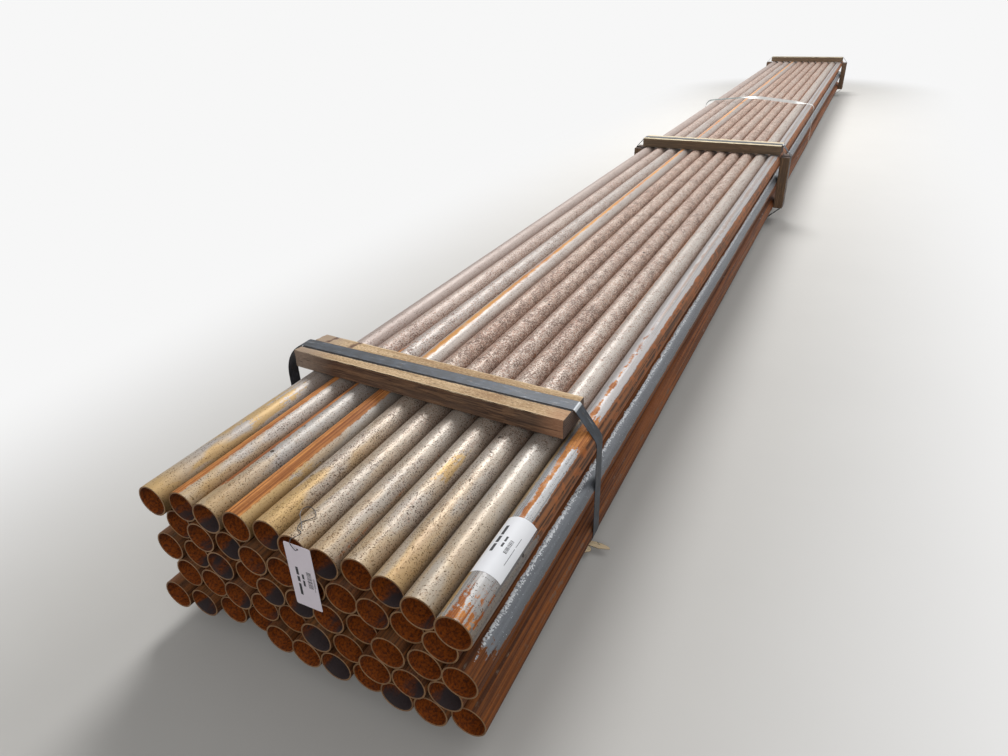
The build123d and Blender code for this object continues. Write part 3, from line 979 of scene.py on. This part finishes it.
def printed(name, slot, place, rules, bars, gaps, hairlines, seed):
    """Thin printed marks in one piece, laid on a surface that place gives for u, v and a lift."""
    patches = [(u0, v, u1, v + length) for u0, u1, column in rules for v, length in column]
    u0, u1, v, stop = bars
    draws = random.Random(seed)
    while v < stop:
        thick = draws.choice(bar_widths)
        patches.append((u0, v, u1, v + thick))
        v += thick + draws.choice(gaps)
    points, faces = [], []
    for u0, v0, u1, v1 in (*patches, *hairlines):
        parts = max(1, round((u1 - u0) / print_step))
        base = len(points)
        for i in range(parts + 1):
            u = u0 + (u1 - u0) * i / parts
            for v, lift in ((v0, 0), (v1, 0), (v1, 1), (v0, 1)):
                points.append(place(u, v, ink_lift + lift * ink_thickness))
        for i in range(parts):
            for a in range(4):
                b = (a + 1) % 4
                at, on = base + i * 4, base + (i + 1) * 4
                faces.append(((at + a, on + a, on + b, at + b), 0))
        last = base + parts * 4
        faces.append(((base, base + 1, base + 2, base + 3), 0))
        faces.append(((last + 3, last + 2, last + 1, last), 0))
    add_piece(name, points, faces, [ink_black], slot, smooth=False)


def tag_print():
    """Plain rules and bars on the tag, reading up its length."""
    low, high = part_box("hang_tag")

    def place(u, v, lift):
        return Vector((low[0] + u, low[1] - lift, high[2] - v))

    printed("tag_print", "tag_paper", place, **tag_marks)


def label_print():
    """Plain rules and bars on the label, reading along the pipe."""
    low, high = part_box("pipe_label")
    tier_low, tier_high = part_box("pipes_top_tier")
    x, z = tier_high[0] - pipe_r, (tier_low[2] + tier_high[2]) / 2
    radius = high[2] - z

    def place(u, v, lift):
        angle = u / radius
        return Vector((x + (radius + lift) * sin(angle), low[1] + v, z + (radius + lift) * cos(angle)))

    printed("label_print", "label_paper", place, **label_marks)


def studio():
    """Pale floor that fades to white, plain sky, soft lamps, and the camera of the photograph."""
    bpy.ops.mesh.primitive_plane_add(size=floor_size, location=(0, 0, -floor_drop))
    floor = bpy.context.object
    floor.name = "floor"
    s = Shader("floor")
    grain = s.noise(s.place, 3.0, 4.0, 0.6)
    material = s.finish(s.mix(grain, paint(200, 198, 194), paint(206, 204, 200)), 0.9)
    x, y, _ = s.split(s.place)
    beyond = s.math("MAXIMUM", s.plus(s.math("ABSOLUTE", y), -bundle_half_length), 0.0)
    away = s.vector("LENGTH", s.join(x, beyond, 0.0), (0, 0, 0), "Value")
    seen = s.nodes.new("ShaderNodeLightPath").outputs["Is Camera Ray"]
    glow = s.nodes.new("ShaderNodeEmission")
    glow.inputs["Color"].default_value = (*[backdrop_white] * 3, 1.0)
    blend = s.nodes.new("ShaderNodeMixShader")
    s.put(blend.inputs[0], s.times(seen, s.step(away, *floor_fade)))
    s.links.new(s.surface.outputs[0], blend.inputs[1])
    s.links.new(glow.outputs[0], blend.inputs[2])
    s.links.new(blend.outputs[0], s.nodes["Material Output"].inputs["Surface"])
    floor.data.materials.append(material)

    world = bpy.data.worlds.new("studio")
    bpy.context.scene.world = world
    world.use_nodes = True
    nodes, links = world.node_tree.nodes, world.node_tree.links
    sky = nodes["Background"]
    sky.inputs["Color"].default_value = (1, 1, 1, 1)
    path = nodes.new("ShaderNodeLightPath")
    seen = path.outputs["Is Camera Ray"]
    for ray in ("Is Glossy Ray", "Is Transmission Ray"):
        add = nodes.new("ShaderNodeMath")
        add.operation = "MAXIMUM"
        links.new(seen, add.inputs[0])
        links.new(path.outputs[ray], add.inputs[1])
        seen = add.outputs[0]
    strength = nodes.new("ShaderNodeMapRange")
    strength.inputs["To Min"].default_value = soft_sky
    strength.inputs["To Max"].default_value = backdrop_white
    links.new(seen, strength.inputs["Value"])
    links.new(strength.outputs["Result"], sky.inputs["Strength"])

    for name, (place, aim, size, power) in lamps.items():
        light = bpy.data.lights.new(name, "AREA")
        light.shape = "DISK"
        light.size = size
        light.energy = power
        lamp = bpy.data.objects.new(name, light)
        bpy.context.scene.collection.objects.link(lamp)
        lamp.location = place
        lamp.rotation_euler = (Vector(aim) - Vector(place)).to_track_quat("-Z", "Y").to_euler()

    camera = bpy.data.objects.new("camera", bpy.data.cameras.new("camera"))
    bpy.context.scene.collection.objects.link(camera)
    camera.data.sensor_width = sensor_width
    camera.data.lens = focal_pixels * sensor_width / picture_width
    camera.data.clip_end = view_reach
    forward = (Vector(camera_target) - Vector(camera_place)).normalized()
    right = forward.cross(Vector((0, 0, 1))).normalized()
    up = right.cross(forward)
    turned_right = cos(camera_roll) * right + sin(camera_roll) * up
    turned_up = cos(camera_roll) * up - sin(camera_roll) * right
    pose = Matrix((turned_right, turned_up, -forward)).transposed().to_4x4()
    pose.translation = Vector(camera_place)
    camera.matrix_world = pose
    bpy.context.scene.camera = camera
    bpy.context.scene.view_settings.view_transform = "Standard"


wood, wood_end, ink_black = sawn_wood(), end_wood(), ink()
draws = random.Random(11)
pipe_materials = [pipe_steel(), bore_steel(), rim_steel()]
for tier, count in pipe_counts.items():
    pipe_tier(tier, count, pipe_materials, draws)

block_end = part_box("bottom_batten_middle")[1][0]
front_y = (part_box("bottom_batten_front")[0][1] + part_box("bottom_batten_front")[1][1]) / 2
timber("top_batten_front", draws, skew=front_batten_skew, strap="strap_front", strap_skew=front_strap_skew,
       jag=(0.004, 0.002), slant=0.012, tint=front_tint, wear_depth=0.004)
timber("bottom_batten_front", draws, strap="strap_front", strap_skew=front_strap_skew, jag=(0.002, 0.010),
       right=block_end)
splinter("bottom_batten_front", block_end, front_y)
for band, skew in (("middle", middle_skew), ("far", 0.0)):
    for level in ("top", "bottom"):
        timber(f"{level}_batten_{band}", draws, skew=skew, strap=f"strap_{band}", strap_skew=skew, bleach=0.9)
    for side in ("left", "right"):
        timber(f"upright_{band}_{side}", draws, standing=True, strap=f"strap_{band}", strap_skew=skew,
               bleach=0.4)

for name in ("strap_front", "strap_middle", "strap_far"):
    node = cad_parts[name]
    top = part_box(name)[1][2]
    fold_x = max(vertex.co.x for vertex in node.data.vertices if vertex.co.z > top - strap_bite)
    node.data.materials[0] = strap_steel(name + "_steel", fold_x)
for name, material in (
    ("tag_wire", wire_steel()),
    ("hang_tag", paper("tag_paper", paint(228, 220, 228), paint(206, 196, 206))),
    ("pipe_label", paper("label_paper", paint(238, 239, 242), paint(218, 220, 226))),
):
    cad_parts[name].data.materials[0] = material
loose_tie()
tag_print()
label_print()

studio()
